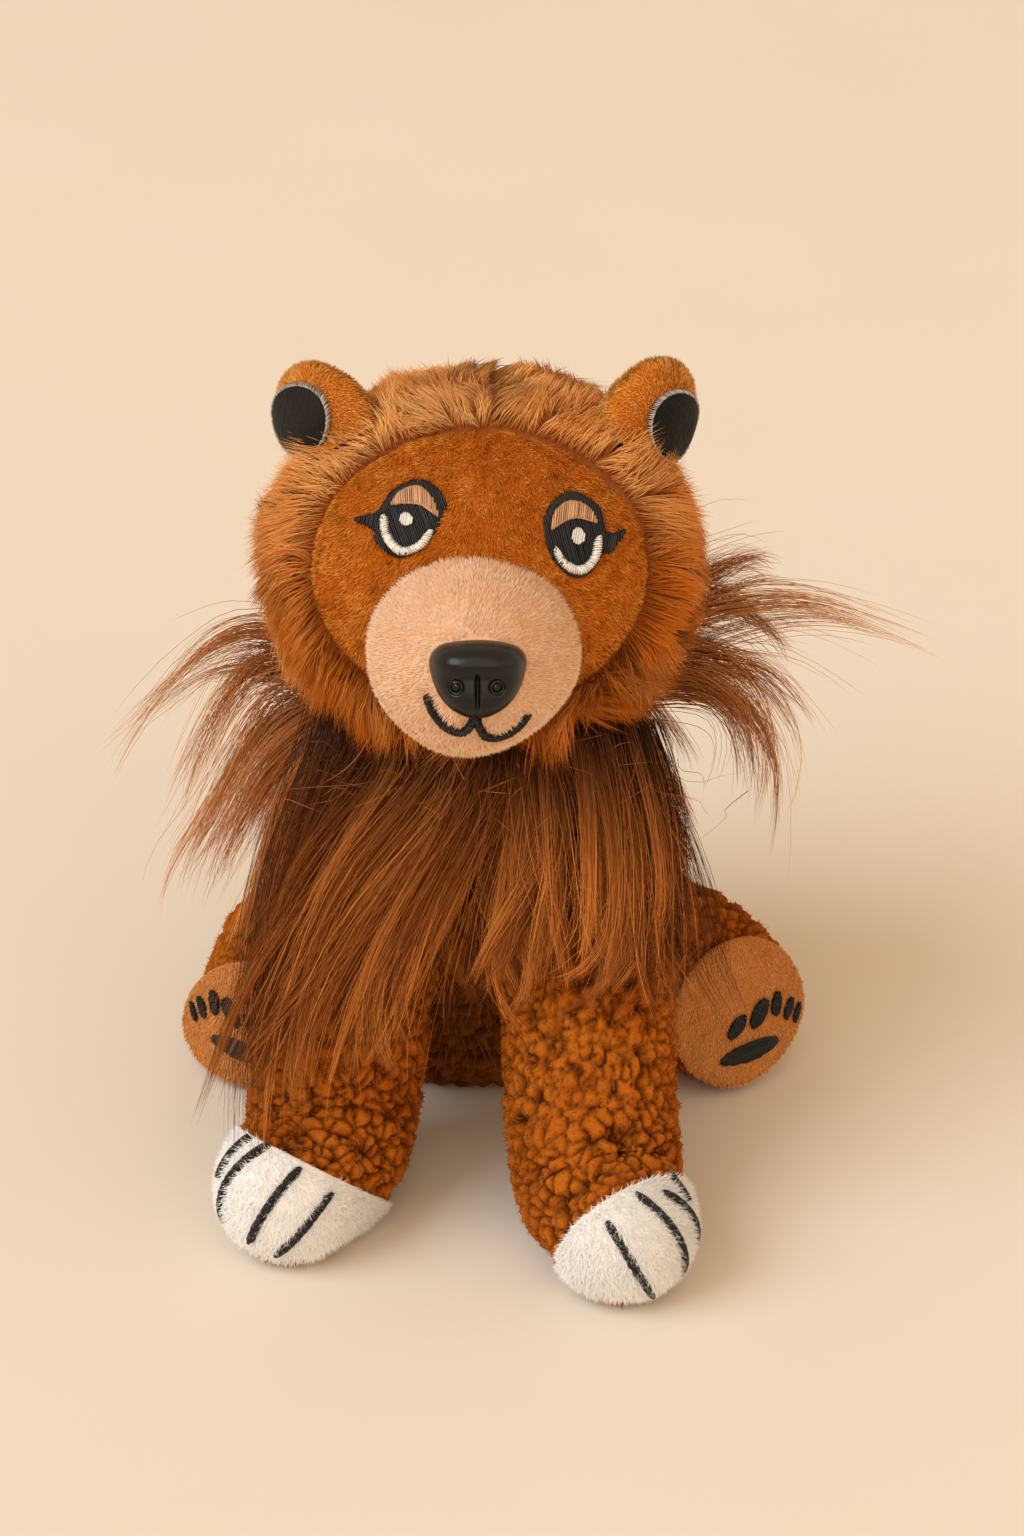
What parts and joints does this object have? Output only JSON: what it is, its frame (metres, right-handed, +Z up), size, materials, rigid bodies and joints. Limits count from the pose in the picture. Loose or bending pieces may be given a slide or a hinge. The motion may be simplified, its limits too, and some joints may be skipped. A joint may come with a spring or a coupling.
{
  "type": "plush bear keychain",
  "caption": "Seated stuffed bear with a long-haired mane, embroidered eyes, a plastic nose, flexing neck, ears and legs, and a key ring that hangs from a ribbon at the nape.",
  "frame": {"origin": "middle of the flat seat under the torso, on the surface that the bear sits on", "axes": "+Z up, the bear faces -Y, and its own left side is +X"},
  "size_m": [0.1358, 0.1035, 0.1215],
  "materials": {
    "mane_hair": "long straight pile, brown to caramel",
    "head_fur": "short brushed pile",
    "face_nap": "velboa nap, rust orange",
    "tan_nap": "short plush, tan",
    "sole_nap": "velour, tan",
    "sherpa": "curled sherpa pile, orange brown",
    "white_nap": "short plush, off white",
    "black_thread": "satin stitch",
    "white_thread": "satin stitch",
    "lid_thread": "satin stitch",
    "grey_thread": "overlock edging",
    "black_felt": "felt, bare",
    "nose_plastic": "moulded, satin",
    "washer_plastic": "moulded, natural",
    "fibre_fill": "loose polyester fibre",
    "ribbon": "woven tape",
    "steel": "plated wire"
  },
  "bodies": {
    "torso": {"body_cover": "sherpa", "body_stuffing": "fibre_fill", "mane_cape": "mane_hair", "mane_bib": "mane_hair", "mane_right_tuft": "mane_hair", "mane_left_tuft": "mane_hair"},
    "neck": {"neck_stuffing": "fibre_fill"},
    "head": {"head_cover": "head_fur", "face_panel": "face_nap", "muzzle_cover": "tan_nap", "head_stuffing": "fibre_fill", "nose": "nose_plastic", "nose_lock_washer": "washer_plastic", "mouth_stitching": "black_thread", "right_eye_ground": "black_thread", "right_eyelid": "lid_thread", "right_eye_white": "white_thread", "left_eye_ground": "black_thread", "left_eyelid": "lid_thread", "left_eye_white": "white_thread", "hanging_ribbon": "ribbon"},
    "right_ear": {"right_ear": "sherpa", "right_ear_disc": "black_felt", "right_ear_edging": "grey_thread"},
    "left_ear": {"left_ear": "sherpa", "left_ear_disc": "black_felt", "left_ear_edging": "grey_thread"},
    "key_ring": {"key_ring": "steel"},
    "right_front_leg": {"right_front_leg_cover": "sherpa", "right_front_leg_stuffing": "fibre_fill", "right_toe_cap": "white_nap", "right_claw_line_1": "black_thread", "right_claw_line_2": "black_thread", "right_claw_line_3": "black_thread", "right_claw_line_4": "black_thread"},
    "right_rear_leg": {"right_rear_leg_cover": "sherpa", "right_rear_leg_stuffing": "fibre_fill", "right_sole": "sole_nap", "right_heel_print": "black_thread", "right_toe_print_1": "black_thread", "right_toe_print_2": "black_thread", "right_toe_print_3": "black_thread", "right_toe_print_4": "black_thread", "right_toe_print_5": "black_thread"},
    "left_front_leg": {"left_front_leg_cover": "sherpa", "left_front_leg_stuffing": "fibre_fill", "left_toe_cap": "white_nap", "left_claw_line_1": "black_thread", "left_claw_line_2": "black_thread", "left_claw_line_3": "black_thread", "left_claw_line_4": "black_thread"},
    "left_rear_leg": {"left_rear_leg_cover": "sherpa", "left_rear_leg_stuffing": "fibre_fill", "left_sole": "sole_nap", "left_heel_print": "black_thread", "left_toe_print_1": "black_thread", "left_toe_print_2": "black_thread", "left_toe_print_3": "black_thread", "left_toe_print_4": "black_thread", "left_toe_print_5": "black_thread"}
  },
  "joints": [
    {"name": "neck_nod", "type": "hinge", "parent": "torso", "child": "neck", "pos_m": [0, -0.013, 0.0605], "axis": [1, 0, 0], "range_deg": [-10, 6], "stiffness_Nm_per_rad": 0.2, "deforming": ["mane_cape", "mane_bib", "mane_right_tuft", "mane_left_tuft"]},
    {"name": "neck_turn", "type": "hinge", "parent": "neck", "child": "head", "pos_m": [0, -0.013, 0.0605], "axis": [0, 0, 1], "range_deg": [-18, 18], "stiffness_Nm_per_rad": 0.1, "deforming": ["mane_cape", "mane_bib", "mane_right_tuft", "mane_left_tuft"]},
    {"name": "right_ear_flop", "type": "hinge", "parent": "head", "child": "right_ear", "pos_m": [-0.02093, -0.018, 0.11098], "axis": [0.6496, -0.4059, 0.6428], "range_deg": [-18, 18], "stiffness_Nm_per_rad": 0.004},
    {"name": "left_ear_flop", "type": "hinge", "parent": "head", "child": "left_ear", "pos_m": [0.02313, -0.018, 0.11098], "axis": [0.5868, 0.4924, -0.6428], "range_deg": [-18, 18], "stiffness_Nm_per_rad": 0.004},
    {"name": "key_ring_swing", "type": "hinge", "parent": "head", "child": "key_ring", "pos_m": [0.0011, 0.01356, 0.09], "axis": [1, 0, 0], "range_deg": [-15, 120]},
    {"name": "right_shoulder_raise", "type": "hinge", "parent": "torso", "child": "right_front_leg", "pos_m": [-0.0152, -0.02615, 0.051], "axis": [-1, 0, 0], "range_deg": [-4, 20], "stiffness_Nm_per_rad": 0.1, "deforming": ["mane_cape", "mane_bib", "mane_right_tuft", "mane_left_tuft"]},
    {"name": "left_shoulder_raise", "type": "hinge", "parent": "torso", "child": "left_front_leg", "pos_m": [0.0152, -0.02615, 0.051], "axis": [-1, 0, 0], "range_deg": [-4, 20], "stiffness_Nm_per_rad": 0.1, "deforming": ["mane_cape", "mane_bib", "mane_right_tuft", "mane_left_tuft"]},
    {"name": "right_hip_spread", "type": "hinge", "parent": "torso", "child": "right_rear_leg", "pos_m": [-0.0215, 0.002, 0.0134], "axis": [0, 0, -1], "range_deg": [-8, 15], "stiffness_Nm_per_rad": 0.08},
    {"name": "left_hip_spread", "type": "hinge", "parent": "torso", "child": "left_rear_leg", "pos_m": [0.0215, 0.002, 0.0134], "axis": [0, 0, 1], "range_deg": [-8, 15], "stiffness_Nm_per_rad": 0.08}
  ]
}
